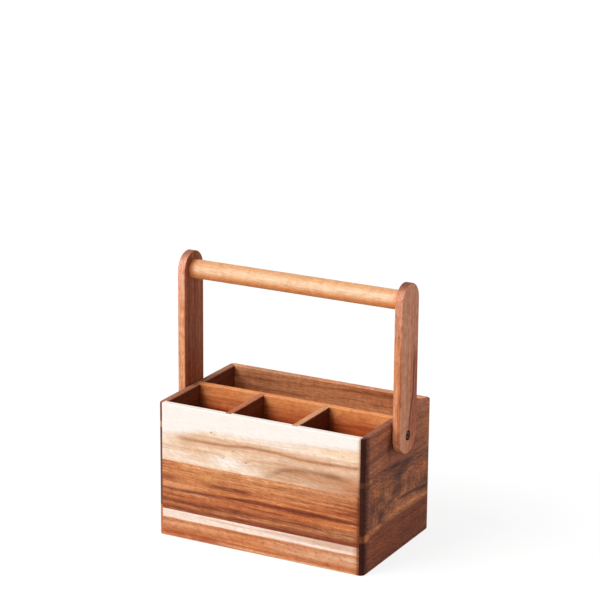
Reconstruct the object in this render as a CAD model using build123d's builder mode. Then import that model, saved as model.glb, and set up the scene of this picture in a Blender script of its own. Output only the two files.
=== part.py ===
"""A wooden utensil caddy: an open case of edge-glued boards with four compartments and a swinging carry handle.

Millimetres, +Z up, +X to the right seen from the front, +Y to the back. The origin is on the
surface the caddy stands on, under the middle of the case.
"""

from build123d import *
import os

# Case, glued up from boards and then sanded as one
case_width = 214.0
case_depth = 138.0
case_height = 130.0
wall_thickness = 7.0
corner_radius = 5.5
rim_easing = 1.2
corner_lip = 4.5  # what is left of a side wall where it laps the end of the front or back wall

# Heights of the glue lines between the boards of each wall
front_lower_joint = 27.0
front_upper_joint = 75.0
back_lower_joint = 31.0
back_upper_joint = 82.0
left_lower_joint = 40.0
left_upper_joint = 92.0
right_lower_joint = 35.0
right_upper_joint = 89.0

# Base panel, held in a groove round the foot of the walls
base_thickness = 6.0
base_lift = 6.0  # from the table to the underside of the panel
groove_depth = 3.5
base_float = 0.5  # room for the panel to swell, at the bottom of the groove
base_front_joint = -21.0
base_back_joint = 25.0

# Dividers
long_divider_thickness = 7.0
cross_divider_thickness = 6.0
divider_easing = 0.6
wall_dado = 4.0  # depth of the slots in the walls
divider_dado = 3.0  # depth of the slots in the long divider

# Handle
arm_width = 34.0
arm_thickness = 8.0
arm_easing = 1.0
arm_reach = 126.0  # from the pivot to the middle of the grip
pivot_drop = 15.0  # from the rim down to the pivot
grip_diameter = 18.0
socket_depth = 5.0
glue_gap = 0.05

# Pivot screws and the washers that hold the arms off the walls
washer_thickness = 1.2
washer_diameter = 15.0
screw_length = 35.0
screw_head_diameter = 9.4
shank_diameter = 4.4
thread_diameter = 4.0
tip_length = 5.0
countersink_angle = 90.0
head_clearance = 0.1  # between the cone of the head and the cone of its seat
countersink_margin = 0.5  # how much wider the countersink's mouth is than the head
shank_clearance = 0.08
pilot_clearance = 0.05
recess_span = 5.0
recess_slot = 1.0
recess_depth = 1.8
left_screw_turn = 20.0
right_screw_turn = 55.0

# Worked out from the sizes above
inner_width = case_width - 2 * wall_thickness
inner_depth = case_depth - 2 * wall_thickness
base_top = base_lift + base_thickness
compartment_width = (inner_width - 2 * cross_divider_thickness) / 3
cross_divider_x = (compartment_width + cross_divider_thickness) / 2
pivot_height = case_height - pivot_drop
grip_height = pivot_height + arm_reach
arm_inner_x = case_width / 2 + washer_thickness
arm_outer_x = arm_inner_x + arm_thickness

# The head's own cone meets its seat where the two radii match, less the clearance between them
head_height = (screw_head_diameter - shank_diameter) / 2
head_sink = countersink_margin - head_clearance * 2**0.5
screw_head_x = arm_outer_x - head_sink


def finish(piece, label):
    """Names a finished piece and writes it out."""
    piece.part.label = label
    export_step(piece.part, f"parts/{label}.step")


def outward_plane(side, distance):
    """A plane that faces away from the case on one side (-1 left, +1 right), with its y axis up."""
    return Plane(origin=(side * distance, 0, 0), x_dir=(0, side, 0), z_dir=(side, 0, 0))


def front_back_plan(side):
    """Draws the plan of the front (-1) or back (+1) wall, which ends behind the side walls' lips."""
    with Locations((0, side * (case_depth - wall_thickness) / 2)):
        Rectangle(case_width - 2 * corner_lip, wall_thickness)


def left_right_plan(side):
    """Draws the plan of the left (-1) or right (+1) wall, rebated for the ends of the other two."""
    with Locations((side * (case_width - wall_thickness) / 2, 0)):
        Rectangle(wall_thickness, case_depth)
    for end in (-1, 1):
        with Locations((0, end * (case_depth - wall_thickness) / 2)):
            Rectangle(case_width - 2 * corner_lip, wall_thickness, mode=Mode.SUBTRACT)


def sanded_case():
    """The outside and the rim of the whole case, rounded and eased after glue-up."""
    with BuildPart() as case:
        with BuildSketch():
            RectangleRounded(case_width, case_depth, corner_radius)
        extrude(amount=case_height)
        fillet(case.faces().filter_by(Axis.Z).edges(), rim_easing)
        with BuildSketch():
            Rectangle(inner_width, inner_depth)
        extrude(amount=case_height, mode=Mode.SUBTRACT)
        fillet(case.faces().sort_by(Axis.Z)[-1].inner_wires().edges(), rim_easing)
    return case.part


def joinery():
    """What is cut out of the walls: the base's groove, the dividers' slots and the screws' pilot holes."""
    with BuildPart() as cuts:
        with BuildSketch(Plane.XY.offset(base_lift)):
            Rectangle(inner_width + 2 * groove_depth, inner_depth + 2 * groove_depth)
        extrude(amount=base_thickness)
        with BuildSketch(Plane.XY.offset(base_top)):
            Rectangle(inner_width + 2 * wall_dado, long_divider_thickness)
            with Locations((0, -inner_depth / 4)):
                with GridLocations(2 * cross_divider_x, 0, 2, 1):
                    Rectangle(cross_divider_thickness, inner_depth / 2 + 2 * wall_dado)
        extrude(amount=case_height - base_top)
        with BuildSketch(Plane.YZ.offset(-case_width / 2)):
            with Locations((0, pivot_height)):
                Circle(thread_diameter / 2 + pilot_clearance)
        extrude(amount=case_width)
    return cuts.part


def wall(name, plan, side, lower_joint, upper_joint, case, cuts):
    """One wall of the case, as the three boards it is glued up from."""
    heights = (0, lower_joint, upper_joint, case_height)
    for level, low, high in zip(("bottom", "middle", "top"), heights, heights[1:]):
        with BuildPart() as board:
            with BuildSketch(Plane.XY.offset(low)):
                plan(side)
            extrude(amount=high - low)
            add(case, mode=Mode.INTERSECT)
            add(cuts, mode=Mode.SUBTRACT)
        finish(board, f"{name}_{level}_board")


def base_panel():
    """The base, as the three boards it is glued up from."""
    half_width = inner_width / 2 + groove_depth - base_float
    half_depth = inner_depth / 2 + groove_depth - base_float
    lines = (-half_depth, base_front_joint, base_back_joint, half_depth)
    for place, front, back in zip(("front", "middle", "back"), lines, lines[1:]):
        with BuildPart() as board:
            with BuildSketch(Plane.XY.offset(base_lift)):
                with Locations((0, (front + back) / 2)):
                    Rectangle(2 * half_width, back - front)
            extrude(amount=base_thickness)
        finish(board, f"base_{place}_board")


def long_divider():
    """The divider that crosses the case from side to side and takes the pivot screws in its ends."""
    length = inner_width + 2 * wall_dado
    with BuildPart() as divider:
        with BuildSketch(Plane.XY.offset(base_top)):
            Rectangle(length, long_divider_thickness)
        extrude(amount=case_height - base_top)
        fillet(divider.faces().sort_by(Axis.Z)[-1].edges().filter_by(Axis.X), divider_easing)
        with BuildSketch(Plane.XY.offset(base_top)):
            with Locations((0, (divider_dado - long_divider_thickness) / 2)):
                with GridLocations(2 * cross_divider_x, 0, 2, 1):
                    Rectangle(cross_divider_thickness, divider_dado)
        extrude(amount=case_height - base_top, mode=Mode.SUBTRACT)
        for side in (-1, 1):
            with BuildSketch(outward_plane(side, length / 2)):
                with Locations((0, pivot_height)):
                    Circle(thread_diameter / 2 + pilot_clearance)
            extrude(amount=screw_head_x - screw_length - length / 2, mode=Mode.SUBTRACT)
    finish(divider, "long_divider")


def cross_divider(label, side):
    """A short divider between the front wall and the long divider."""
    front = -inner_depth / 2 - wall_dado
    back = divider_dado - long_divider_thickness / 2
    with BuildPart() as divider:
        with BuildSketch(Plane.XY.offset(base_top)):
            with Locations((side * cross_divider_x, (front + back) / 2)):
                Rectangle(cross_divider_thickness, back - front)
        extrude(amount=case_height - base_top)
        fillet(divider.faces().sort_by(Axis.Z)[-1].edges().filter_by(Axis.Y), divider_easing)
    finish(divider, label)


def handle_arm(label, side):
    """A flat arm with round ends, bored for the pivot screw and blind for the grip."""
    inner_face = outward_plane(side, arm_inner_x)
    with BuildPart() as arm:
        with BuildSketch(inner_face):
            with Locations((0, (pivot_height + grip_height) / 2)):
                SlotCenterToCenter(arm_reach, arm_width, rotation=90)
        extrude(amount=arm_thickness)
        fillet(arm.faces().filter_by(Axis.X).edges(), arm_easing)
        with BuildSketch(inner_face):
            with Locations((0, grip_height)):
                Circle(grip_diameter / 2 + glue_gap)
        extrude(amount=socket_depth, mode=Mode.SUBTRACT)
        with Locations(Plane(origin=(side * arm_outer_x, 0, pivot_height), z_dir=(side, 0, 0))):
            CounterSinkHole(
                radius=shank_diameter / 2 + shank_clearance,
                counter_sink_radius=screw_head_diameter / 2 + countersink_margin,
                depth=arm_thickness,
                counter_sink_angle=countersink_angle,
            )
    finish(arm, label)


def handle_grip():
    """The round grip, glued into blind sockets in the two arms."""
    half_length = arm_inner_x + socket_depth
    with BuildPart() as grip:
        with BuildSketch(Plane.YZ.offset(-half_length)):
            with Locations((0, grip_height)):
                Circle(grip_diameter / 2)
        extrude(amount=2 * half_length)
    finish(grip, "handle_grip")


def pivot_washer(label, side):
    """A flat washer between the arm and the wall."""
    with BuildPart() as washer:
        with BuildSketch(outward_plane(side, case_width / 2)):
            with Locations((0, pivot_height)):
                Circle(washer_diameter / 2)
                Circle(shank_diameter / 2 + shank_clearance, mode=Mode.SUBTRACT)
        extrude(amount=washer_thickness)
    finish(washer, label)


def pivot_screw(label, side, turn):
    """A countersunk wood screw: the arm turns on its plain shank, and its thread bites into the divider's end."""
    head_centre = (side * screw_head_x, 0, pivot_height)
    shank_end = screw_head_x - case_width / 2
    with BuildPart() as screw:
        with BuildSketch(Plane(origin=head_centre, x_dir=(-side, 0, 0), z_dir=(0, side, 0))):
            with BuildLine():
                Polyline(
                    (0, 0),
                    (0, screw_head_diameter / 2),
                    (head_height, shank_diameter / 2),
                    (shank_end, shank_diameter / 2),
                    (shank_end, thread_diameter / 2),
                    (screw_length - tip_length, thread_diameter / 2),
                    (screw_length, 0),
                    close=True,
                )
            make_face()
        revolve(axis=Axis(head_centre, (1, 0, 0)))
        with BuildSketch(outward_plane(side, screw_head_x)):
            with Locations((0, pivot_height)):
                Rectangle(recess_span, recess_slot, rotation=turn)
                Rectangle(recess_slot, recess_span, rotation=turn)
        extrude(amount=-recess_depth, mode=Mode.SUBTRACT)
    finish(screw, label)


os.makedirs("parts", exist_ok=True)
case_skin = sanded_case()
wall_cuts = joinery()
wall("front", front_back_plan, -1, front_lower_joint, front_upper_joint, case_skin, wall_cuts)
wall("back", front_back_plan, 1, back_lower_joint, back_upper_joint, case_skin, wall_cuts)
wall("left", left_right_plan, -1, left_lower_joint, left_upper_joint, case_skin, wall_cuts)
wall("right", left_right_plan, 1, right_lower_joint, right_upper_joint, case_skin, wall_cuts)
base_panel()
long_divider()
cross_divider("left_cross_divider", -1)
cross_divider("right_cross_divider", 1)
handle_arm("left_handle_arm", -1)
handle_arm("right_handle_arm", 1)
handle_grip()
pivot_washer("left_pivot_washer", -1)
pivot_washer("right_pivot_washer", 1)
pivot_screw("left_pivot_screw", -1, left_screw_turn)
pivot_screw("right_pivot_screw", 1, right_screw_turn)
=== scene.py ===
"""A wooden utensil caddy with a swinging carry handle.

This gives its solids their materials, and sets up the floor, light and camera round them."""

import math

import bpy
from mathutils import Matrix, Vector


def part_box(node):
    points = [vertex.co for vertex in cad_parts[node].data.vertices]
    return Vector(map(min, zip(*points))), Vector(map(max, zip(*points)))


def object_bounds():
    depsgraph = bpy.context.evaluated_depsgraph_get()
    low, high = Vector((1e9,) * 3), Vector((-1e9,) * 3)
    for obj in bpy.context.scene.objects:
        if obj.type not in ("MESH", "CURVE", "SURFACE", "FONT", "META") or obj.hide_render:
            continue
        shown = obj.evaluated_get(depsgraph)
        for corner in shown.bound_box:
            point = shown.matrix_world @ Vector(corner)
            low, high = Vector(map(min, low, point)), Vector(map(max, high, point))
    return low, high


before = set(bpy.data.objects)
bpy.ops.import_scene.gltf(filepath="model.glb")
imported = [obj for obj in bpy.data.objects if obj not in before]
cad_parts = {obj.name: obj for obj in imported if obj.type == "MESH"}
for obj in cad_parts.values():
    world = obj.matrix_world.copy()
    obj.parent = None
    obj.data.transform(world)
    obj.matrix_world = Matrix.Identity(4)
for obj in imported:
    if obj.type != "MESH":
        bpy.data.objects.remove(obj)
cad_low, cad_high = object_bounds()

MM = 0.001  # metres in a millimetre; the figure of the wood is written in millimetres


def glue_levels(wall):
    """The heights in mm where a wall's three boards meet."""
    return [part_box(f"{wall}_{board}_board")[1].z / MM for board in ("bottom", "middle")]


# places that the figure of the wood lines up with, in mm
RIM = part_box("front_top_board")[1].z / MM  # the case's upper edge
FRONT_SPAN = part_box("front_top_board")[1].x / MM  # half the width of the front boards
FRONT_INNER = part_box("front_top_board")[1].y / MM  # their face towards the compartments
FRONT_END = cad_low.y / MM  # where the side walls' end grain shows at the front
FRONT_JOINTS, BACK_JOINTS, LEFT_JOINTS, RIGHT_JOINTS = map(glue_levels, ("front", "back", "left", "right"))
DIVIDER_CORNERS = (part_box("left_middle_board")[1].x / MM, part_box("left_cross_divider")[1].x / MM,
                   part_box("right_cross_divider")[1].x / MM)  # the left ends of the front compartments
GRIP_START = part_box("left_handle_arm")[1].x / MM  # where the grip enters the left arm


# ---------------------------------------------------------------- colours


def linear(value):
    """A 0-255 display value as linear light."""
    share = value / 255.0
    return share / 12.92 if share <= 0.04045 else ((share + 0.055) / 1.055) ** 2.4


def tone(red, green, blue):
    """A colour for a shader socket from 0-255 display values."""
    return linear(red), linear(green), linear(blue), 1.0


WHITE = (1.0, 1.0, 1.0, 1.0)

# named colours of the wood, as seen on a fully lit face
CREAM = tone(253, 246, 240)
IVORY = tone(250, 231, 214)
STRAW = tone(236, 203, 174)
AMBER = tone(216, 142, 92)
BRIGHT_ORANGE = tone(246, 152, 92)
ORANGE = tone(196, 120, 74)
RUST = tone(166, 90, 52)
CHESTNUT = tone(138, 70, 42)
UMBER = tone(102, 48, 30)
PLUM = tone(78, 42, 34)
INK = tone(46, 19, 12)
KNOT_BROWN = tone(112, 58, 34)
CORNER_PATCH = tone(222, 136, 84)  # the lighter patch at the right front corner
CORNER_PATCH_END = tone(108, 60, 38)  # the same on the end grain


# ---------------------------------------------------------------- shader graphs


class Graph:
    """The shader nodes of a material or a world; most calls add a node and return its output."""

    def __init__(self, owner):
        owner.use_nodes = True
        self.owner = owner
        self.tree = owner.node_tree
        self.tree.nodes.clear()

    def add(self, kind, **settings):
        """A new node with these settings."""
        node = self.tree.nodes.new(kind)
        for key, value in settings.items():
            setattr(node, key, value)
        return node

    def put(self, socket, value):
        """Links an output to an input socket, or sets the socket to a constant."""
        if isinstance(value, bpy.types.NodeSocket):
            self.tree.links.new(value, socket)
        else:
            socket.default_value = value

    def math(self, operation, *values):
        """A sum on numbers; its operation is one of the math node's."""
        node = self.add("ShaderNodeMath", operation=operation)
        for socket, value in zip(node.inputs, values):
            self.put(socket, value)
        return node.outputs[0]

    def times(self, first, second):
        return self.math("MULTIPLY", first, second)

    def away(self, value, level):
        """How far a value is from a level, either way."""
        return self.math("ABSOLUTE", self.math("SUBTRACT", value, level))

    def vector(self, operation, *values):
        """A sum on vectors, with a vector as its outcome."""
        node = self.add("ShaderNodeVectorMath", operation=operation)
        for socket, value in zip(node.inputs, values):
            self.put(socket, value)
        return node.outputs[0]

    def length(self, vector):
        node = self.add("ShaderNodeVectorMath", operation="LENGTH")
        self.put(node.inputs[0], vector)
        return node.outputs["Value"]

    def join(self, *parts):
        """A vector from its three parts."""
        node = self.add("ShaderNodeCombineXYZ")
        for socket, value in zip(node.inputs, parts):
            self.put(socket, value)
        return node.outputs[0]

    def split(self, vector):
        """The three parts of a vector."""
        node = self.add("ShaderNodeSeparateXYZ")
        self.put(node.inputs[0], vector)
        return list(node.outputs)

    def noise(self, place, detail=2.0, roughness=0.5):
        """Soft noise at a place, whose largest patches are 1 across."""
        node = self.add("ShaderNodeTexNoise")
        self.put(node.inputs["Vector"], place)
        self.put(node.inputs["Scale"], 1.0)
        self.put(node.inputs["Detail"], detail)
        self.put(node.inputs["Roughness"], roughness)
        return node.outputs[0]

    def span(self, value, low, high, to_low=0.0, to_high=1.0, smooth=True):
        """The value's place between low and high, as a number between to_low and to_high."""
        kind = "SMOOTHSTEP" if smooth else "LINEAR"
        node = self.add("ShaderNodeMapRange", interpolation_type=kind)
        for socket, number in zip(node.inputs, (value, low, high, to_low, to_high)):
            self.put(socket, number)
        return node.outputs[0]

    def ramp(self, value, stops):
        """The colour at value along stops, a list of (place, colour)."""
        node = self.add("ShaderNodeValToRGB")
        self.put(node.inputs[0], value)
        elements = node.color_ramp.elements
        while len(elements) < len(stops):
            elements.new(0.5)
        for element, (place, colour) in zip(elements, stops):
            element.position = place
            element.color = colour
        return node.outputs[0]

    def mix(self, share, first, second, blend="MIX"):
        """The first colour, with this share of the second blended over it."""
        node = self.add("ShaderNodeMix", data_type="RGBA", blend_type=blend)
        sockets = [s for s in node.inputs if s.enabled]
        for socket, value in zip(sockets, (share, first, second)):
            self.put(socket, value)
        return next(s for s in node.outputs if s.enabled)

    def tinted(self, colour, tint):
        """A colour multiplied by another."""
        return self.mix(1.0, colour, tint, "MULTIPLY")

    def surface(self, shader, output="ShaderNodeOutputMaterial"):
        """Ends the graph in this shader and returns the material or world."""
        self.put(self.add(output).inputs["Surface"], shader)
        return self.owner


# ---------------------------------------------------------------- wood


class Wood(Graph):
    """Oiled acacia with its figure in the row frame, in millimetres.

    grain names the axes along the grain, across the board's face and through its thickness. A seed sets
    one board's noise apart from another's, and a salt does so for the patterns of one board."""

    SEED_SHIFT = (7.31, 3.77, 5.13)  # how far a seed of 1 moves the noise, in its own cells
    SALT_SHIFT = (1.0, -1.0, 2.0)

    # patches of noise: their sizes along and across the grain, and for a pattern the noise where it starts
    # and where it is full
    LONG_BEND = dict(along=150.0, across=45.0, salt=11.0)
    SHORT_BEND = dict(along=34.0, across=12.0, salt=23.0)
    WISP_EDGES = (0.32, 0.66)
    BLOTCH_WISPS = dict(along=22.0, across=2.2)
    END_WISPS = dict(along=8.0, across=1.6, salt=65.0)
    EDGE_WISPS = dict(along=9.0, across=3.0, salt=87.0)
    END_PORES = dict(along=4.0, across=0.8, detail=1.0, salt=61.0, edges=(0.35, 0.65))
    CROSS_STROKES = dict(along=2.2, across=13.0, detail=3.0, roughness=0.6, salt=67.0, edges=(0.3, 0.7))
    INNER_BANDS = dict(along=70.0, across=3.0, detail=3.0, salt=77.0, edges=(0.35, 0.65))
    FIBRES = dict(along=9.0, across=1.0, detail=4.0, roughness=0.75, salt=71.0, edges=(0.33, 0.67),
                  smooth=False)
    PORES = dict(along=4.0, across=0.5, detail=1.0, salt=97.0, edges=(0.6, 0.72))
    SHIMMER = dict(along=5.0, across=9.0, detail=3.0, salt=83.0, edges=(0.3, 0.7), smooth=False)

    # the growth rings' layers: how much shorter and closer than the main rings, and the noise's detail
    RING_LAYERS = ((1.0, 1.0, 3.0), (3.0, 4.5, 2.0), (12.0, 14.0, 1.0))
    RING_SEED = 5.0  # from one layer to the next
    RING_ROUGHNESS = 0.55

    WHOLE_BOARD = (-400.0, 400.0)
    PATH_MARGIN = 1.0  # mm that a path's curve has above and below it
    KNOT_LENGTH, KNOT_STRENGTH = 2.0, 0.9  # the length is this many times the height
    BAND_SOFTNESS, BAND_STRENGTH = 1.0, 0.9  # of the bands in the end grain, in mm and as a share
    END_GRAIN_SPREAD = 1.6  # how much lighter the end grain is between its pores
    FULL_DARKENING = 0.4  # the share of the reach of the darkening where it is full
    RIM_START, RIM_FULL, RIM_STRENGTH = 1.4, 0.2, 0.9  # mm below the upper edge, for its other tone
    INNER_START, INNER_FULL = 1.6, 0.4  # mm from the inner face
    GLUE_START, GLUE_FULL, GLUE_STRENGTH = 0.3, 0.05, 0.3  # mm from the joint
    # the rounded edges' rubbed wear and painted highlight
    WEAR_START, WEAR_FULL, WEAR_STRENGTH = 0.03, 0.2, 0.7  # where 0 is a flat face
    EDGE_TINT = (1.35, 1.3, 1.2, 1.0)  # how much lighter the edges are, partly by rubbed wear and partly as a painted highlight
    BRIGHTEST = (0.97, 0.95, 0.92)  # the most that they may be

    DARKER = (1.0, 1.3, 1.5)  # how much red, green and blue a dark fibre loses, times its depth
    LIGHTER = (0.8, 0.9, 0.9)  # and what a light one gains
    SHIMMER_DEPTH = 0.4  # times the fibres' depth
    PLAIN_GRAIN = 0.25  # how much of the fibres is left where the wood is plain
    PORE_TINT = tone(180, 142, 122)
    PORE_HEIGHT, FIBRE_HEIGHT = -0.8, 0.5  # shares of the bump's depth
    BUMP_STRENGTH, BUMP_DEPTH = 0.4, 0.1  # the depth in mm
    ROUGHNESS = (0.64, 0.5)  # of dark and light fibres
    SPECULAR = 0.1

    def __init__(self, name, grain, seed):
        super().__init__(bpy.data.materials.new(name))
        place = self.add("ShaderNodeTexCoord")
        millimetres = self.vector("DIVIDE", place.outputs["Object"], (MM, MM, MM))
        axes = dict(zip("xyz", self.split(millimetres)))
        self.facing = dict(zip("xyz", self.split(place.outputs["Normal"])))
        self.grain = grain
        self.along, self.across, self.through = (axes[axis] for axis in grain)
        self.place = self.join(self.along, self.across, self.through)
        self.seed = seed
        self.level = self.mark = self.across
        self.colour = None
        self.plainness = 0.0

    def patches(self, along, across, detail=2.0, roughness=0.5, salt=0.0):
        """Noise whose patches have these sizes along and across the grain."""
        cells = (1.0 / along, 1.0 / across, 1.0 / across)
        steps = zip(self.SEED_SHIFT, self.SALT_SHIFT)
        shift = tuple(self.seed * by_seed + salt * by_salt for by_seed, by_salt in steps)
        return self.noise(self.vector("MULTIPLY_ADD", self.place, cells, shift), detail, roughness)

    def pattern(self, edges, smooth=True, **sizes):
        """Patches as a mask: 0 at the first edge of the noise and 1 at the second."""
        return self.span(self.patches(**sizes), *edges, smooth=smooth)

    def shifted(self, level, patches, amount):
        """A level moved by up to amount, up or down, by patches."""
        return self.math("MULTIPLY_ADD", self.math("SUBTRACT", patches, 0.5), 2.0 * amount, level)

    def bend(self, wave, ripple, drift=0.0):
        """Bends the growth lines by up to wave and ripple, and lets them climb by drift per mm.

        Marks, which are placed one by one, follow the ripple only."""
        self.mark = self.shifted(self.across, self.patches(**self.SHORT_BEND), ripple)
        level = self.math("MULTIPLY_ADD", self.along, -drift, self.mark)
        self.level = self.shifted(level, self.patches(**self.LONG_BEND), wave)

    def near(self, along, across, reach_along, reach_across):
        """1 at a point of the face, falling smoothly to 0 at an ellipse round it."""
        first = self.times(self.math("SUBTRACT", self.along, along), 1.0 / reach_along)
        second = self.times(self.math("SUBTRACT", self.mark, across), 1.0 / reach_across)
        return self.span(self.length(self.join(first, second, 0.0)), 1.0, 0.0)

    def swell(self, along, across, reach_along, reach_across, lift):
        """Pushes the growth lines aside round a point, as round a hidden knot."""
        mask = self.near(along, across, reach_along, reach_across)
        self.level = self.math("MULTIPLY_ADD", mask, lift, self.level)

    def rings(self, stops, spacing, pith, length=260.0, contrast=0.26, fine=0.45, hair=0.3):
        """Colours the wood by its growth rings round a pith line, spacing apart on average.

        The finer and the finest rings have the shares fine and hair of the main ones' strength."""
        first = self.math("SUBTRACT", self.level, pith[0])
        second = self.math("SUBTRACT", self.through, pith[1])
        radius = self.length(self.join(first, second, 0.0))
        value = 0.0
        for number, share in enumerate((1.0, fine, hair)):
            shorter, closer, detail = self.RING_LAYERS[number]
            place = self.join(self.times(self.along, shorter / length), self.times(radius, closer / spacing),
                              self.seed + self.RING_SEED * number)
            layer = self.math("SUBTRACT", self.noise(place, detail, self.RING_ROUGHNESS), 0.5)
            value = self.math("MULTIPLY_ADD", layer, share, value)
        self.colour = self.ramp(self.span(value, -contrast, contrast, smooth=False), stops)

    def blend_in(self, mask, colour, strength=1.0, blend="MIX"):
        """Lays a colour over the wood where the mask is."""
        self.colour = self.mix(self.times(mask, strength), self.colour, colour, blend)

    def ragged(self, mask, share, along=26.0, across=1.3, salt=31.0):
        """Breaks a share of a mask up into lengthwise wisps."""
        wisps = self.pattern(self.WISP_EDGES, along=along, across=across, detail=3.0, salt=salt)
        return self.times(mask, self.math("MULTIPLY_ADD", wisps, share, 1.0 - share))

    def path(self, *points):
        """A level across the board that runs smoothly through points, each (along, across)."""
        start, end = points[0][0], points[-1][0]
        low = min(point[1] for point in points) - self.PATH_MARGIN
        high = max(point[1] for point in points) + self.PATH_MARGIN
        node = self.add("ShaderNodeFloatCurve")
        curve = node.mapping.curves[0]
        spots = [((x - start) / (end - start), (z - low) / (high - low)) for x, z in points]
        curve.points[0].location = spots[0]
        curve.points[1].location = spots[-1]
        for spot in spots[1:-1]:
            curve.points.new(*spot)
        node.mapping.update()
        self.put(node.inputs["Value"], self.span(self.along, start, end, smooth=False))
        return self.math("MULTIPLY_ADD", node.outputs[0], high - low, low)

    def beside(self, level, softness):
        """0 below a level across the board and 1 above it."""
        return self.span(self.math("SUBTRACT", self.mark, level), -softness, softness)

    def streak(self, level, width, colour, strength, reach=WHOLE_BOARD, fade=18.0, salt=41.0, broken=0.55):
        """A lengthwise streak of another colour at a level, between two places along the board."""
        starts = self.span(self.along, reach[0] - fade, reach[0] + fade)
        ends = self.span(self.along, reach[1] + fade, reach[1] - fade)
        mask = self.times(self.span(self.away(self.mark, level), width, 0.0), self.times(starts, ends))
        self.blend_in(self.ragged(mask, broken, salt=salt), colour, strength)

    def blotch(self, along, across, reach_along, reach_across, colour, strength, salt=51.0, broken=0.7):
        """A soft patch of another colour, broken up along the grain."""
        mask = self.near(along, across, reach_along, reach_across)
        self.blend_in(self.ragged(mask, broken, salt=salt, **self.BLOTCH_WISPS), colour, strength)

    def blotches(self, *spots):
        """Blotches one over the other, each (along, across, reach along, reach across, colour, strength,
        salt, broken)."""
        for spot in spots:
            self.blotch(*spot)

    def knots(self, *spots):
        """Pin knots, dark spots drawn out a little along the grain, each (along, across, size, colour)."""
        for along, across, size, colour in spots:
            mask = self.near(along, across, self.KNOT_LENGTH * size, size)
            self.blend_in(mask, colour, self.KNOT_STRENGTH)

    def ends(self, colour, bands=(), strength=0.97, turned=(0.2, 0.6)):
        """End grain: darker than the faces, because it drinks the oil; bands are (low, high, colour).

        It starts and is full where a face is turned this far to the end of the board."""
        facing = self.math("ABSOLUTE", self.facing[self.grain[0]])
        lighter = tuple(min(self.END_GRAIN_SPREAD * channel, 1.0) for channel in colour)
        shade = self.ramp(self.pattern(**self.END_PORES), [(0.0, colour), (1.0, lighter)])
        for low, high, other in bands:
            under = self.span(self.mark, high + self.BAND_SOFTNESS, high - self.BAND_SOFTNESS)
            inside = self.times(self.beside(low, self.BAND_SOFTNESS), under)
            shade = self.mix(self.times(inside, self.BAND_STRENGTH), shade, other)
        self.blend_in(self.times(self.span(facing, *turned), strength), shade)

    def darken_towards_end(self, end, reach, colour, strength):
        """The face beside an end, blended towards a darker colour near the end."""
        darkening = self.span(self.away(self.along, end), reach, self.FULL_DARKENING * reach)
        self.blend_in(self.ragged(darkening, 0.3, **self.END_WISPS), colour, strength)

    def cross_figure(self, along, across, reach_along, reach_across, strength):
        """Curly figure: short light and dark strokes that run across the grain in an ellipse."""
        strokes = self.mix(self.pattern(**self.CROSS_STROKES), tone(176, 150, 140), WHITE)
        mask = self.near(along, across, reach_along, reach_across)
        self.blend_in(mask, self.tinted(self.colour, strokes), strength)

    def rim(self, colour):
        """The sawn upper edge, of another tone than the face below it."""
        mask = self.span(self.across, RIM - self.RIM_START, RIM - self.RIM_FULL)
        self.blend_in(self.ragged(mask, 0.3), colour, self.RIM_STRENGTH)

    def inner_face(self, place, dark, light):
        """The board's other face and the edge above it, towards the compartments."""
        mask = self.span(self.through, place - self.INNER_START, place - self.INNER_FULL)
        self.blend_in(mask, self.mix(self.pattern(**self.INNER_BANDS), dark, light))

    def worn_and_highlit_edges(self, axes):
        """Rounded edges, lighter partly by rubbing from sanding and hands and partly as a painted highlight:
        where a face turns away from these axes.
        """
        turned = 0.0
        for axis in axes:
            square = self.times(self.facing[axis], self.facing[axis])
            turned = self.math("MULTIPLY_ADD", square, self.math("SUBTRACT", 1.0, square), turned)
        rubbed_and_highlit = self.ragged(self.span(turned, self.WEAR_START, self.WEAR_FULL), 0.5, **self.EDGE_WISPS)
        lighter = self.vector("MINIMUM", self.tinted(self.colour, self.EDGE_TINT), self.BRIGHTEST)
        self.blend_in(rubbed_and_highlit, lighter, self.WEAR_STRENGTH)

    def glue_line(self, *levels):
        """The thin dark line where two boards are glued edge to edge."""
        for level in levels:
            mask = self.span(self.away(self.across, level), self.GLUE_START, self.GLUE_FULL)
            self.blend_in(mask, UMBER, self.GLUE_STRENGTH)

    def finish(self, fibre, pore, lean=0.12, edges="xyz"):
        """Adds fibres and pores of these depths and the satin oil, and closes the material.

        The fibres lean off the board's length, and the edges' wear and painted highlight are on the edges
        between faces on these axes."""
        self.worn_and_highlit_edges(edges)
        slanted = self.math("MULTIPLY_ADD", self.along, lean, self.across)
        upright, self.place = self.place, self.join(self.along, slanted, self.through)
        fibres = self.pattern(**self.FIBRES)
        pores = self.pattern(**self.PORES)
        self.place = upright
        shimmer = self.pattern(**self.SHIMMER)
        grainy = self.span(self.plainness, 0.0, 1.0, 1.0, self.PLAIN_GRAIN, smooth=False)
        colour = self.colour
        for pattern, depth in ((fibres, fibre), (shimmer, self.SHIMMER_DEPTH * fibre)):
            dark = tuple(1.0 - share * depth for share in self.DARKER) + (1.0,)
            light = tuple(1.0 + share * depth for share in self.LIGHTER) + (1.0,)
            colour = self.mix(grainy, colour, self.tinted(colour, self.mix(pattern, dark, light)))
        in_pores = self.times(self.times(pores, pore), grainy)
        colour = self.mix(in_pores, colour, self.tinted(colour, self.PORE_TINT))
        height = self.math("MULTIPLY_ADD", pores, self.PORE_HEIGHT, self.times(fibres, self.FIBRE_HEIGHT))
        bump = self.add("ShaderNodeBump")
        self.put(bump.inputs["Strength"], self.BUMP_STRENGTH)
        self.put(bump.inputs["Distance"], self.BUMP_DEPTH * MM)
        self.put(bump.inputs["Height"], height)
        shader = self.add("ShaderNodeBsdfPrincipled")
        self.put(shader.inputs["Base Color"], colour)
        self.put(shader.inputs["Roughness"], self.span(fibres, 0.0, 1.0, *self.ROUGHNESS))
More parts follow.
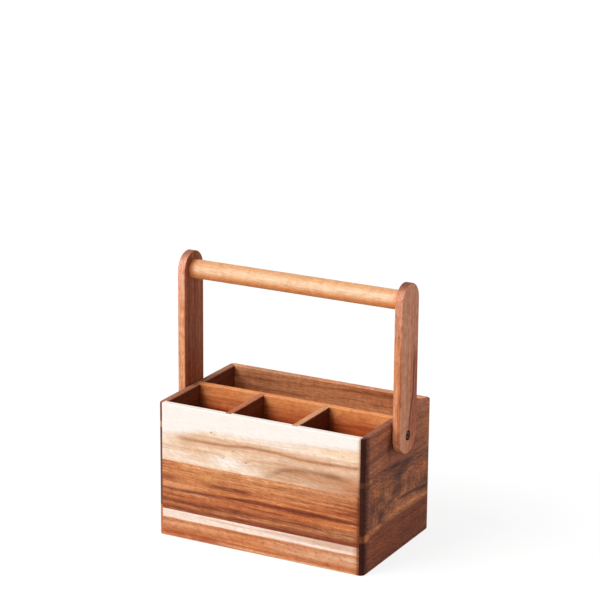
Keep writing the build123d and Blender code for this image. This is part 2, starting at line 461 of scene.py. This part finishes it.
        self.put(shader.inputs["Specular IOR Level"], self.SPECULAR)
        self.put(shader.inputs["Normal"], bump.outputs[0])
        return self.surface(shader.outputs[0])


# ---------------------------------------------------------------- the front wall


def front_top_wood():
    """Pale sapwood over straw-coloured heartwood, with a grey-brown streak and a swirl at the right."""
    wood = Wood("front_top_wood", "xzy", 1.0)
    wood.bend(wave=3.0, ripple=1.0, drift=0.01)
    wood.swell(76.0, 86.0, 34.0, 9.0, lift=9.0)
    wood.swell(20.0, 78.0, 26.0, 8.0, lift=-6.0)
    wood.swell(-24.0, 87.0, 22.0, 7.0, lift=6.0)
    stops = [(0.0, tone(212, 160, 126)), (0.3, tone(233, 192, 160)), (0.65, tone(249, 222, 196)),
             (1.0, CREAM)]
    wood.rings(stops, spacing=5.0, pith=(20.0, 60.0))
    wood.blotches(
        (-74.0, 92.0, 26.0, 7.0, tone(232, 188, 146), 0.7, 50.0, 0.4),
        (24.0, 93.0, 60.0, 9.0, tone(218, 174, 140), 0.7, 51.0),
        (44.0, 83.0, 80.0, 15.0, tone(200, 140, 95), 1.0, 52.0, 0.3),
        (106.0, 80.0, 66.0, 23.0, tone(192, 116, 66), 1.0, 53.0, 0.2),
        (-33.0, 84.5, 30.0, 7.0, CREAM, 1.0, 54.0, 0.2),
        (-92.0, 84.0, 30.0, 12.0, IVORY, 0.8, 55.0, 0.5),
        (-14.0, 79.0, 22.0, 6.0, IVORY, 0.9, 59.0, 0.4))
    arch = wood.path((0.0, 76.0), (15.0, 82.2), (27.0, 86.9), (48.0, 89.6), (71.0, 90.4), (94.0, 85.0))
    wood.streak(arch, 5.0, tone(152, 100, 60), 0.75, (10.0, 84.0), fade=14.0, salt=56.0, broken=0.5)
    wood.blotch(76.0, 89.0, 24.0, 4.5, tone(150, 98, 58), 0.8, salt=57.0, broken=0.4)
    line = wood.path((-100.0, 99.5), (-52.0, 99.2), (-18.0, 101.6), (2.0, 102.6), (48.0, 100.3),
                     (105.0, 103.2))
    wood.streak(line, 7.0, tone(222, 170, 132), 0.85, (-86.0, 120.0), fade=8.0, salt=42.0, broken=0.35)
    wood.streak(line, 2.5, tone(166, 106, 74), 0.85, (-82.0, 120.0), fade=10.0, salt=43.0, broken=0.45)
    wood.blotch(92.0, 111.5, 60.0, 6.5, tone(250, 216, 180), 0.95, salt=58.0, broken=0.3)
    sapwood = wood.path((-107.0, 101.0), (-86.0, 103.0), (-50.0, 110.2), (8.0, 111.3), (60.0, 115.5),
                        (107.0, 118.5))
    wood.plainness = wood.ragged(wood.beside(sapwood, 4.0), 0.1)
    wood.blend_in(wood.plainness, CREAM, 0.98)
    wood.knots((-50.3, 110.2, 1.0, KNOT_BROWN), (-26.7, 95.7, 0.75, RUST), (-37.4, 87.6, 0.8, RUST),
               (-13.7, 86.7, 0.9, ORANGE))
    # painted shade: darker towards the right end, where the corner turns away from the light
    wood.darken_towards_end(FRONT_SPAN, 4.0, tone(218, 174, 134), 0.5)
    wood.darken_towards_end(FRONT_SPAN, 1.8, CHESTNUT, 0.6)
    wood.blotch(FRONT_SPAN + 1.0, 80.0, 6.0, 19.0, UMBER, 0.95, salt=60.0, broken=0.2)
    wood.inner_face(FRONT_INNER, tone(206, 122, 76), tone(244, 172, 122))
    wood.glue_line(FRONT_JOINTS[1])
    return wood.finish(fibre=0.15, pore=0.4, lean=0.25)


def front_middle_wood():
    """Orange-brown heartwood with long dark red-brown streaks."""
    wood = Wood("front_middle_wood", "xzy", 2.0)
    wood.bend(wave=2.4, ripple=1.0)
    stops = [(0.0, tone(112, 52, 34)), (0.22, tone(152, 80, 48)), (0.45, tone(188, 108, 66)),
             (0.72, tone(214, 140, 90)), (1.0, tone(236, 176, 130))]
    wood.rings(stops, spacing=5.5, pith=(150.0, 20.0), length=200.0, contrast=0.2)
    wood.blotches(
        (0.0, 67.0, 170.0, 13.0, tone(224, 162, 112), 0.7, 52.0),
        (-62.0, 64.0, 34.0, 6.0, tone(230, 166, 100), 0.7, 50.0, 0.5),
        (78.0, 73.0, 66.0, 7.0, tone(208, 146, 106), 0.9, 51.0, 0.4),
        (-98.0, 58.0, 24.0, 4.5, tone(136, 62, 42), 0.95, 53.0, 0.4),
        (38.0, 60.0, 50.0, 3.5, tone(158, 80, 50), 0.8, 54.0, 0.5),
        (-30.0, 40.0, 170.0, 6.0, tone(192, 112, 72), 0.75, 55.0, 0.5),
        (-88.0, 69.0, 26.0, 4.0, tone(196, 116, 70), 0.5, 49.0, 0.6))
    wood.streak(57.8, 3.2, tone(112, 50, 38), 0.95, (-54.0, -10.0), fade=10.0, salt=44.0, broken=0.4)
    bright = wood.path((-107.0, 51.0), (-36.0, 51.5), (10.0, 53.0), (60.0, 52.6), (107.0, 50.8))
    wood.streak(bright, 1.8, tone(232, 152, 92), 0.9, salt=43.0)
    dark = wood.path((-107.0, 47.8), (-44.0, 48.2), (-18.0, 49.8), (48.0, 49.4), (107.0, 48.3))
    wood.streak(dark, 4.5, tone(140, 68, 46), 0.7, salt=40.0, broken=0.5)
    wood.streak(dark, 1.7, tone(104, 44, 32), 0.95, salt=42.0, broken=0.6)
    wood.streak(43.2, 2.0, tone(222, 138, 80), 0.85, (30.0, 120.0), salt=46.0)
    low = wood.path((-107.0, 37.3), (-44.0, 36.2), (42.0, 38.0), (107.0, 35.5))
    wood.streak(low, 4.2, tone(104, 48, 34), 0.9, salt=45.0)
    wood.streak(29.5, 6.5, tone(128, 64, 44), 0.9, salt=47.0, broken=0.4)
    wood.blotch(66.0, 33.0, 70.0, 5.5, tone(142, 76, 50), 0.8, salt=48.0, broken=0.5)
    # painted shade: darker towards the right end, where the corner turns away from the light
    wood.darken_towards_end(FRONT_SPAN, 7.0, CHESTNUT, 0.5)
    wood.darken_towards_end(FRONT_SPAN, 3.2, UMBER, 0.85)
    wood.glue_line(*FRONT_JOINTS)
    return wood.finish(fibre=0.25, pore=0.8, lean=0.2)


def front_bottom_wood():
    """Tan-orange wood with a straight cream stripe along its upper edge, pinker to the right."""
    wood = Wood("front_bottom_wood", "xzy", 3.0)
    wood.bend(wave=1.2, ripple=0.6)
    stops = [(0.0, tone(180, 100, 62)), (0.3, ORANGE), (0.65, AMBER), (1.0, STRAW)]
    wood.rings(stops, spacing=4.0, pith=(90.0, 20.0), contrast=0.2)
    wood.blotches(
        (-74.0, 4.0, 70.0, 5.5, tone(160, 66, 38), 0.95, 52.0, 0.4),
        (-80.0, 13.5, 90.0, 6.0, tone(232, 172, 128), 0.9, 58.0, 0.45),
        (64.0, 12.0, 90.0, 11.0, tone(220, 168, 134), 0.85, 53.0),
        (50.0, 5.0, 60.0, 5.0, tone(190, 116, 80), 0.7, 57.0))
    stripe = wood.beside(18.7, 0.9)
    wood.plainness = wood.times(stripe, 0.6)
    wood.blend_in(wood.ragged(stripe, 0.2), tone(254, 238, 224), 0.97)
    pinker = wood.times(wood.span(wood.along, -20.0, 90.0), wood.beside(21.5, 1.2))
    wood.blend_in(wood.ragged(pinker, 0.4), tone(206, 156, 126), 0.8)
    wood.streak(24.0, 1.4, tone(222, 178, 146), 0.8, (-60.0, 110.0), fade=40.0, salt=42.0, broken=0.7)
    # painted shade: darker towards the right end, where the corner turns away from the light
    wood.darken_towards_end(FRONT_SPAN, 8.0, ORANGE, 0.5)
    wood.darken_towards_end(FRONT_SPAN, 3.2, UMBER, 0.85)
    wood.glue_line(FRONT_JOINTS[0])
    return wood.finish(fibre=0.2, pore=0.8, lean=0.2)


# ---------------------------------------------------------------- the right wall


def right_top_wood():
    """Plain reddish brown, more orange towards the back."""
    wood = Wood("right_top_wood", "yzx", 11.0)
    wood.bend(wave=2.5, ripple=0.8)
    stops = [(0.0, tone(112, 60, 44)), (0.5, tone(158, 94, 68)), (1.0, tone(200, 124, 84))]
    wood.rings(stops, spacing=4.0, pith=(150.0, 20.0), contrast=0.24)
    wood.blotches(
        (66.0, 108.0, 46.0, 34.0, AMBER, 0.65, 52.0),
        (-15.0, 108.0, 40.0, 12.0, PLUM, 0.45, 53.0),
        (-40.0, 93.0, 50.0, 3.0, RUST, 0.5, 54.0))
    wood.rim(tone(150, 92, 74))
    # painted shadow: a dark strip on the wall just in front of the handle arm, where the arm shades it
    wood.blotch(-19.0, 108.0, 7.0, 22.0, INK, 0.7, salt=55.0, broken=0.2)
    wood.darken_towards_end(FRONT_END, 13.0, INK, 0.85)
    wood.ends(INK)
    wood.glue_line(RIGHT_JOINTS[1])
    return wood.finish(fibre=0.32, pore=0.5, lean=0.3)


def right_middle_wood():
    """Figured wood: dark purple-brown patches with orange ones between them."""
    wood = Wood("right_middle_wood", "yzx", 12.0)
    wood.bend(wave=3.5, ripple=2.2, drift=-0.05)
    wood.swell(-30.0, 58.0, 30.0, 22.0, lift=8.0)
    wood.swell(25.0, 55.0, 30.0, 18.0, lift=-6.0)
    stops = [(0.0, tone(86, 48, 38)), (0.35, tone(128, 76, 56)), (0.65, tone(162, 100, 70)),
             (1.0, tone(208, 134, 90))]
    wood.rings(stops, spacing=5.0, pith=(60.0, 40.0), length=80.0, contrast=0.22, fine=0.5, hair=0.4)
    wood.blotches(
        (-46.0, 70.0, 18.0, 6.0, BRIGHT_ORANGE, 0.85, 52.0, 0.5),
        (-26.0, 67.0, 16.0, 8.0, tone(206, 142, 98), 0.8, 63.0, 0.5),
        (-30.0, 57.0, 20.0, 8.0, tone(186, 124, 88), 0.8, 67.0, 0.5),
        (-42.0, 38.0, 16.0, 4.5, BRIGHT_ORANGE, 0.9, 53.0, 0.4))
    band = wood.path((-30.0, 38.0), (-5.0, 41.0), (16.0, 41.0), (42.0, 39.5), (69.0, 38.0))
    wood.streak(band, 8.5, tone(214, 146, 100), 0.8, (-24.0, 90.0), fade=7.0, salt=64.0, broken=0.45)
    wood.streak(band, 3.0, BRIGHT_ORANGE, 0.75, (-20.0, 90.0), fade=8.0, salt=54.0, broken=0.6)
    wood.blotches(
        (20.0, 62.0, 40.0, 9.0, tone(124, 74, 56), 0.7, 60.0, 0.4),
        (54.0, 66.0, 24.0, 11.0, tone(226, 140, 88), 0.8, 55.0, 0.5))
    wood.cross_figure(-38.0, 60.0, 40.0, 40.0, 1.0)
    wood.cross_figure(50.0, 68.0, 40.0, 30.0, 0.2)
    wood.blotches(
        (20.0, 82.0, 20.0, 7.5, PLUM, 1.0, 56.0, 0.2),
        (2.0, 75.0, 19.0, 14.0, PLUM, 1.0, 57.0, 0.15),
        (-4.0, 63.0, 15.0, 11.0, PLUM, 0.95, 65.0, 0.25),
        (-17.0, 54.0, 14.0, 6.0, PLUM, 0.85, 58.0, 0.35),
        (-36.0, 46.0, 8.0, 10.0, PLUM, 0.95, 61.0, 0.25),
        (-53.0, 60.0, 7.0, 22.0, tone(88, 48, 38), 0.8, 66.0, 0.4))
    shadow = wood.path((0.0, 51.0), (20.0, 49.6), (42.0, 47.8), (69.0, 45.4))
    wood.streak(shadow, 3.2, PLUM, 1.0, (4.0, 62.0), fade=8.0, salt=59.0, broken=0.3)
    wood.darken_towards_end(FRONT_END, 14.0, tone(62, 31, 23), 0.9)
    wood.blotch(-63.0, 36.0, 9.0, 5.0, CORNER_PATCH, 1.0, salt=62.0, broken=0.2)
    wood.ends(tone(54, 25, 17), [(84.0, 88.5, tone(92, 52, 36)), (34.0, 38.5, CORNER_PATCH_END)])
    wood.glue_line(*RIGHT_JOINTS)
    return wood.finish(fibre=0.34, pore=0.6, lean=0.3)


def right_bottom_wood():
    """Plain dark brown with fine straight lines."""
    wood = Wood("right_bottom_wood", "yzx", 13.0)
    wood.bend(wave=1.5, ripple=0.6)
    stops = [(0.0, tone(104, 52, 34)), (0.5, tone(138, 72, 44)), (1.0, tone(178, 98, 56))]
    wood.rings(stops, spacing=4.0, pith=(200.0, 20.0))
    wood.darken_towards_end(FRONT_END, 12.0, INK, 0.8)
    wood.blotch(-63.0, 34.0, 9.0, 4.5, CORNER_PATCH, 1.0, salt=62.0, broken=0.2)
    wood.ends(INK, [(31.5, 36.0, CORNER_PATCH_END)])
    wood.glue_line(RIGHT_JOINTS[0])
    return wood.finish(fibre=0.32, pore=0.5, lean=0.3)


# ---------------------------------------------------------------- the left and back walls and the base


def left_wood(name, seed, dark, light, joints, rim=None, bands=()):
    """The left wall's brown boards; bands are lighter or darker places in their end grain."""
    wood = Wood(name, "yzx", seed)
    wood.bend(wave=3.0, ripple=1.0)
    wood.rings([(0.0, dark), (1.0, light)], spacing=4.0, pith=(150.0, -20.0))
    if rim:
        wood.rim(rim)
    wood.ends(tone(92, 50, 38), bands)
    wood.glue_line(*joints)
    return wood.finish(fibre=0.24, pore=0.5)


def back_wood(name, seed, stops, joints, rim=None):
    """The back wall's boards, streaked from side to side; the one with the rim has two lighter streaks."""
    wood = Wood(name, "xzy", seed)
    wood.bend(wave=3.0, ripple=1.2, drift=0.01)
    wood.rings(stops, spacing=5.0, pith=(170.0, -30.0))
    if rim:
        wood.streak(118.0, 3.0, AMBER, 0.6, (-60.0, 90.0), salt=42.0)
        wood.streak(109.0, 3.0, AMBER, 0.5, salt=43.0)
        wood.rim(rim)
    wood.glue_line(*joints)
    return wood.finish(fibre=0.3, pore=0.8)


def base_wood(name, seed):
    """The base panel's boards, seen only deep inside and from below."""
    wood = Wood(name, "xyz", seed)
    wood.bend(wave=4.0, ripple=1.0)
    wood.rings([(0.0, CHESTNUT), (0.5, RUST), (1.0, ORANGE)], spacing=7.0, pith=(10.0, -50.0))
    return wood.finish(fibre=0.18, pore=0.6)


# ---------------------------------------------------------------- the dividers


def divider_wood(name, grain, seed, stops, rim, upper=None):
    """A divider, with its sawn upper edge; upper is a painted light tone for the lit band just below that
    edge.

    Below that band painted shade makes the wood darker, with a painted shadow beside the left end of each
    front compartment and a painted highlight near its right end."""
    wood = Wood(name, grain, seed)
    wood.bend(wave=2.0, ripple=0.8, drift=0.01)
    wood.rings(stops, spacing=3.6, pith=(170.0, 30.0), contrast=0.22)
    if upper:
        # painted shade darkens the face downwards, and painted light brightens its upper band
        wood.blend_in(wood.span(wood.mark, RIM - 8.0, RIM - 24.0), tone(222, 186, 168), blend="MULTIPLY")
        wood.blend_in(wood.ragged(wood.span(wood.mark, RIM - 13.0, RIM - 3.0), 0.4), upper, 0.9)
        # painted shadow beside each front compartment's left end, and a painted highlight near its right end
        for corner in DIVIDER_CORNERS:
            wood.blotches(
                (corner, RIM - 20.0, 8.0, 40.0, UMBER, 0.7, corner, 0.2),
                (corner + 58.0, RIM - 4.0, 26.0, 9.0, tone(255, 178, 116), 0.8, corner + 3.0, 0.4))
    wood.rim(rim)
    wood.ends(tone(200, 135, 92))
    return wood.finish(fibre=0.2, pore=0.6)


# ---------------------------------------------------------------- the handle


def right_arm_figure(wood, right):
    """The marks on the right arm, whose face to the right is paler towards the front and the top.

    A dark streak with a redder one beside it climbs across the face."""
    pale = wood.times(right, wood.span(wood.mark, 2.0, -8.0))
    wood.blend_in(wood.ragged(pale, 0.5), tone(226, 176, 140), 0.6)
    dark = wood.path((100.0, -1.0), (120.0, 0.4), (137.0, 3.1), (154.0, 7.6), (170.0, 8.8), (210.0, 11.0))
    redder = wood.math("ADD", dark, 6.0)
    wood.streak(redder, 11.0, tone(164, 94, 70), 0.8, (112.0, 190.0), salt=45.0, broken=0.4)
    high = wood.times(right, wood.span(wood.along, 180.0, 205.0))
    wood.blend_in(wood.ragged(high, 0.3), tone(222, 162, 130), 0.65)
    wood.streak(dark, 2.6, tone(110, 48, 38), 0.95, (118.0, 190.0), fade=10.0, salt=42.0, broken=0.3)


def arm_wood(name, seed, shade, right_face, blush, top, figured=False):
    """A handle arm: straight grain, darker round ends and a darker face to the right.

    shade tints all of it and right_face that face; blush is on the narrow edges' upper part, top on the
    end grain."""
    wood = Wood(name, "zyx", seed)
    wood.bend(wave=2.0, ripple=0.5)
    stops = [(0.0, tone(172, 92, 60)), (0.25, tone(206, 128, 88)), (0.55, tone(234, 164, 120)),
             (1.0, tone(252, 204, 160))]
    wood.rings(stops, spacing=2.4, pith=(90.0, 60.0), length=300.0, contrast=0.27)
    wood.colour = wood.tinted(wood.colour, shade)
    right = wood.span(wood.facing["x"], 0.3, 0.8)
    if figured:
        right_arm_figure(wood, right)
    wood.blend_in(right, right_face, blend="MULTIPLY")
    narrow = wood.span(wood.math("ABSOLUTE", wood.facing["x"]), 0.6, 0.2)
    upper = wood.times(narrow, wood.span(wood.along, 195.0, 240.0))
    wood.blend_in(wood.ragged(upper, 0.3), blush, 0.8)
    wood.ends(top, strength=0.9, turned=(0.5, 1.05))
    return wood.finish(fibre=0.3, pore=0.5, lean=0.03, edges="x")


def grip_wood():
    """Golden straight-grained wood with short dark fibres; painted shade makes it more orange above and
    below, so the front, which faces the light, stays paler.
    """
    wood = Wood("handle_grip_wood", "xzy", 55.0)
    wood.bend(wave=1.0, ripple=0.4)
    stops = [(0.0, tone(234, 174, 126)), (0.5, tone(248, 204, 166)), (1.0, tone(254, 222, 192))]
    wood.rings(stops, spacing=3.5, pith=(190.0, 40.0))
    # painted shade: more orange where the round grip turns up and down, away from the light
    wood.blend_in(wood.span(wood.facing["z"], 0.45, 0.95), tone(230, 170, 120), 0.9)
    wood.blend_in(wood.span(wood.facing["z"], 0.2, -0.4), tone(240, 152, 88), 0.9)
    for end in (GRIP_START, -GRIP_START):
        wood.darken_towards_end(end, 7.0, tone(240, 150, 90), 0.8)
    return wood.finish(fibre=0.18, pore=0.45, edges="x")


SCREW_CENTRE = (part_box("right_pivot_screw")[0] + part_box("right_pivot_screw")[1]) / 2.0  # m
SCREW_WEAR_AND_HIGHLIGHT = (0.0012, 0.0024, 0.0036)  # m from the screw's axis: where the ring of wear and painted highlight starts, is full and ends
METAL_SPECKLES, NYLON_SPECKLES = 1400.0, 1800.0  # in a metre


def speckled(graph, place, speckles, detail):
    """Fine noise with this many speckles in a metre."""
    return graph.noise(graph.vector("MULTIPLY", place, (speckles, speckles, speckles)), detail)


def dark_metal():
    """The screws' dark bronze-coloured coating, brighter in a ring round the cross, partly worn and partly a
    painted highlight.
    """
    graph = Graph(bpy.data.materials.new("screw_coating"))
    place = graph.add("ShaderNodeTexCoord").outputs["Object"]
    speckle = speckled(graph, place, METAL_SPECKLES, 3.0)
    off_centre = graph.vector("SUBTRACT", place, SCREW_CENTRE)
    radius = graph.length(graph.vector("MULTIPLY", off_centre, (0.0, 1.0, 1.0)))
    start, full, end = SCREW_WEAR_AND_HIGHLIGHT
    ring = graph.times(graph.span(radius, start, full), graph.span(radius, end, full))
    # partly rubbed wear, partly painted highlight: the lighter ring round the cross
    worn_and_highlit = graph.times(ring, graph.span(speckle, 0.35, 0.6))
    coating = graph.ramp(speckle, [(0.3, tone(40, 25, 18)), (0.7, tone(72, 48, 36))])
    shader = graph.add("ShaderNodeBsdfPrincipled")
    graph.put(shader.inputs["Base Color"], graph.mix(worn_and_highlit, coating, tone(164, 144, 132)))
    graph.put(shader.inputs["Metallic"], 0.9)
    graph.put(shader.inputs["Specular Tint"], tone(112, 86, 70))
    graph.put(shader.inputs["Specular IOR Level"], 0.1)
    graph.put(shader.inputs["Roughness"], graph.span(speckle, 0.3, 0.7, 0.3, 0.5))
    return graph.surface(shader.outputs[0])


def nylon():
    """The washers' dull black nylon."""
    graph = Graph(bpy.data.materials.new("washer_nylon"))
    speckle = speckled(graph, graph.add("ShaderNodeTexCoord").outputs["Object"], NYLON_SPECKLES, 2.0)
    colour = graph.ramp(speckle, [(0.3, tone(30, 27, 25)), (0.7, tone(42, 38, 35))])
    shader = graph.add("ShaderNodeBsdfPrincipled")
    graph.put(shader.inputs["Base Color"], colour)
    graph.put(shader.inputs["Roughness"], graph.span(speckle, 0.3, 0.7, 0.45, 0.6))
    return graph.surface(shader.outputs[0])


# ---------------------------------------------------------------- each solid's material


def dress(node, material):
    """Gives a CAD node its material, in every slot it has."""
    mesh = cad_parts[node].data
    if not mesh.materials:
        mesh.materials.append(material)
    for index in range(len(mesh.materials)):
        mesh.materials[index] = material


LEFT_BROWN = (tone(88, 44, 28), tone(142, 80, 50))
LEFT_TOP_BANDS = [(106.0, 112.0, tone(182, 128, 98)), (112.0, 130.0, tone(116, 66, 46))]
LEFT_BOTTOM_BANDS = [(-5.0, 30.0, tone(186, 112, 74))]
BACK_STOPS = [(0.0, tone(148, 84, 52)), (0.4, tone(212, 140, 96)), (1.0, tone(248, 188, 138))]
BACK_MIDDLE_STOPS = [(0.0, tone(150, 84, 52)), (0.5, tone(186, 116, 78)), (1.0, tone(226, 166, 122))]
LONG_DIVIDER_STOPS = [(0.0, tone(172, 76, 38)), (0.35, tone(220, 120, 68)), (0.75, tone(244, 152, 94)),
                      (1.0, tone(254, 182, 122))]
LEFT_CROSS_STOPS = [(0.0, tone(94, 46, 28)), (1.0, tone(140, 72, 42))]
RIGHT_CROSS_STOPS = [(0.0, tone(82, 40, 24)), (1.0, tone(124, 62, 34))]

dress("front_top_board", front_top_wood())
dress("front_middle_board", front_middle_wood())
dress("front_bottom_board", front_bottom_wood())
dress("right_top_board", right_top_wood())
dress("right_middle_board", right_middle_wood())
dress("right_bottom_board", right_bottom_wood())
dress("left_top_board", left_wood("left_top_wood", 21.0, *LEFT_BROWN, LEFT_JOINTS[1:],
                                  rim=tone(178, 122, 94), bands=LEFT_TOP_BANDS))
dress("left_middle_board", left_wood("left_middle_wood", 22.0, CHESTNUT, ORANGE, LEFT_JOINTS))
dress("left_bottom_board", left_wood("left_bottom_wood", 23.0, *LEFT_BROWN, LEFT_JOINTS[:1],
                                     bands=LEFT_BOTTOM_BANDS))
dress("back_top_board", back_wood("back_top_wood", 31.0, BACK_STOPS, BACK_JOINTS[1:],
                                  rim=tone(228, 164, 124)))
dress("back_middle_board", back_wood("back_middle_wood", 32.0, BACK_MIDDLE_STOPS, BACK_JOINTS))
dress("back_bottom_board", back_wood("back_bottom_wood", 33.0, BACK_STOPS, BACK_JOINTS[:1]))
for number, name in enumerate(("base_front_board", "base_middle_board", "base_back_board")):
    dress(name, base_wood(name + "_wood", 41.0 + number))
# the long divider's upper tone is painted light on the upper band of its face
dress("long_divider", divider_wood("long_divider_wood", "xzy", 50.0, LONG_DIVIDER_STOPS,
                                   rim=tone(242, 160, 102), upper=tone(255, 164, 99)))
dress("left_cross_divider", divider_wood("left_cross_wood", "yzx", 51.0, LEFT_CROSS_STOPS,
                                         rim=tone(204, 128, 88)))
dress("right_cross_divider", divider_wood("right_cross_wood", "yzx", 52.0, RIGHT_CROSS_STOPS,
                                          rim=tone(240, 178, 132)))
dress("left_handle_arm", arm_wood("left_arm_wood", 53.0, shade=tone(252, 248, 250),
                                  right_face=tone(184, 160, 148), blush=tone(250, 188, 168),
                                  top=tone(134, 78, 62)))
dress("right_handle_arm", arm_wood("right_arm_wood", 54.0, shade=tone(236, 222, 214),
                                   right_face=tone(252, 246, 254), blush=tone(222, 158, 132),
                                   top=tone(98, 50, 42), figured=True))
dress("handle_grip", grip_wood())
for side in ("left", "right"):
    dress(side + "_pivot_screw", dark_metal())
    dress(side + "_pivot_washer", nylon())


# ---------------------------------------------------------------- floor, world, light and camera

FLOOR_SIDE = 12.0  # m
FLOOR_COLOUR = (0.8, 0.8, 0.79, 1.0)
SEEN_FLOOR_COLOUR = (1.25, 1.25, 1.25, 1.0)  # as the camera sees it, white where nothing shades it
SHADOW_SHARE = 0.16  # how much of the lit floor shows in the white one
SKY_LIGHT = 0.45  # the world's strength as a light
BACKGROUND = 1.0  # its strength as the white background

PHOTO_PIXELS = 600  # the picture's width and height
FOCAL_PIXELS = 2366.5  # the camera's focal length, in the picture's pixels
SENSOR = 36.0  # mm, the camera's sensor width
CLIP_START, CLIP_END = 0.05, 50.0  # m


def seen_by_camera(graph):
    """1 for the rays that the camera sees by, straight or in a reflection, and 0 for those that light."""
    path = graph.add("ShaderNodeLightPath")
    seen = graph.math("MAXIMUM", path.outputs["Is Camera Ray"], path.outputs["Is Glossy Ray"])
    return graph.math("MAXIMUM", seen, path.outputs["Is Transmission Ray"])


def floor_material():
    """Paper that is white to the camera but for the object's shadow on it."""
    graph = Graph(bpy.data.materials.new("floor_paper"))
    seen = seen_by_camera(graph)
    paper = graph.add("ShaderNodeBsdfDiffuse")
    graph.put(paper.inputs["Color"], graph.mix(seen, FLOOR_COLOUR, SEEN_FLOOR_COLOUR))
    white = graph.add("ShaderNodeEmission")
    graph.put(white.inputs["Color"], WHITE)
    graph.put(white.inputs["Strength"], BACKGROUND)
    mixed = graph.add("ShaderNodeMixShader")
    graph.put(mixed.inputs[0], graph.times(seen, 1.0 - SHADOW_SHARE))
    graph.put(mixed.inputs[1], paper.outputs[0])
    graph.put(mixed.inputs[2], white.outputs[0])
    return graph.surface(mixed.outputs[0])


def make_floor():
    """A wide square under the foot."""
    half = FLOOR_SIDE / 2.0
    corners = [(-half, -half), (half, -half), (half, half), (-half, half)]
    mesh = bpy.data.meshes.new("floor")
    mesh.from_pydata([(x, y, cad_low.z) for x, y in corners], [], [(0, 1, 2, 3)])
    mesh.materials.append(floor_material())
    floor = bpy.data.objects.new("floor", mesh)
    bpy.context.scene.collection.objects.link(floor)


def make_world():
    """A dim white sky as a light, and a white background."""
    graph = Graph(bpy.data.worlds.new("studio"))
    sky = graph.add("ShaderNodeBackground")
    graph.put(sky.inputs["Color"], WHITE)
    strength = graph.span(seen_by_camera(graph), 0.0, 1.0, SKY_LIGHT, BACKGROUND, smooth=False)
    graph.put(sky.inputs["Strength"], strength)
    bpy.context.scene.world = graph.surface(sky.outputs[0], "ShaderNodeOutputWorld")


def direction(azimuth, elevation):
    """The way from the object to a camera or lamp, as angles from the front in degrees."""
    a, e = math.radians(azimuth), math.radians(elevation)
    return Vector((math.sin(a) * math.cos(e), -math.cos(a) * math.cos(e), math.sin(e)))


def sun(name, azimuth, elevation, spread, strength):
    """A wide soft lamp from one side; strength 1 lights a face that looks at it as a white sky would."""
    lamp = bpy.data.lights.new(name, "SUN")
    lamp.angle = math.radians(spread)
    lamp.energy = strength * math.pi
    holder = bpy.data.objects.new(name, lamp)
    holder.rotation_euler = (-direction(azimuth, elevation)).to_track_quat("-Z", "Y").to_euler()
    bpy.context.scene.collection.objects.link(holder)


def make_camera():
    """The photograph's camera: turned about a point inside the case, then shifted in its own plane."""
    azimuth, elevation, roll = 28.055, 16.219, math.radians(0.483)
    distance, right_shift, up_shift = 2.2097, 0.00479, 0.15446
    centre = Vector((0.0, 0.0, 0.065))
    back = direction(azimuth, elevation)
    level = Vector((math.cos(math.radians(azimuth)), math.sin(math.radians(azimuth)), 0.0))
    upright = back.cross(level)
    right = math.cos(roll) * level + math.sin(roll) * upright
    up = -math.sin(roll) * level + math.cos(roll) * upright
    data = bpy.data.cameras.new("camera")
    data.sensor_width = SENSOR
    data.lens = FOCAL_PIXELS * SENSOR / PHOTO_PIXELS
    data.clip_start, data.clip_end = CLIP_START, CLIP_END
    camera = bpy.data.objects.new("camera", data)
    turned = Matrix((right, up, back)).transposed().to_4x4()
    turned.translation = centre + back * distance + right * right_shift + up * up_shift
    camera.matrix_world = turned
    bpy.context.scene.collection.objects.link(camera)
    bpy.context.scene.camera = camera


make_floor()
make_world()
sun("key", azimuth=-38.0, elevation=42.0, spread=40.0, strength=0.75)
make_camera()
bpy.context.scene.view_settings.view_transform = "Standard"
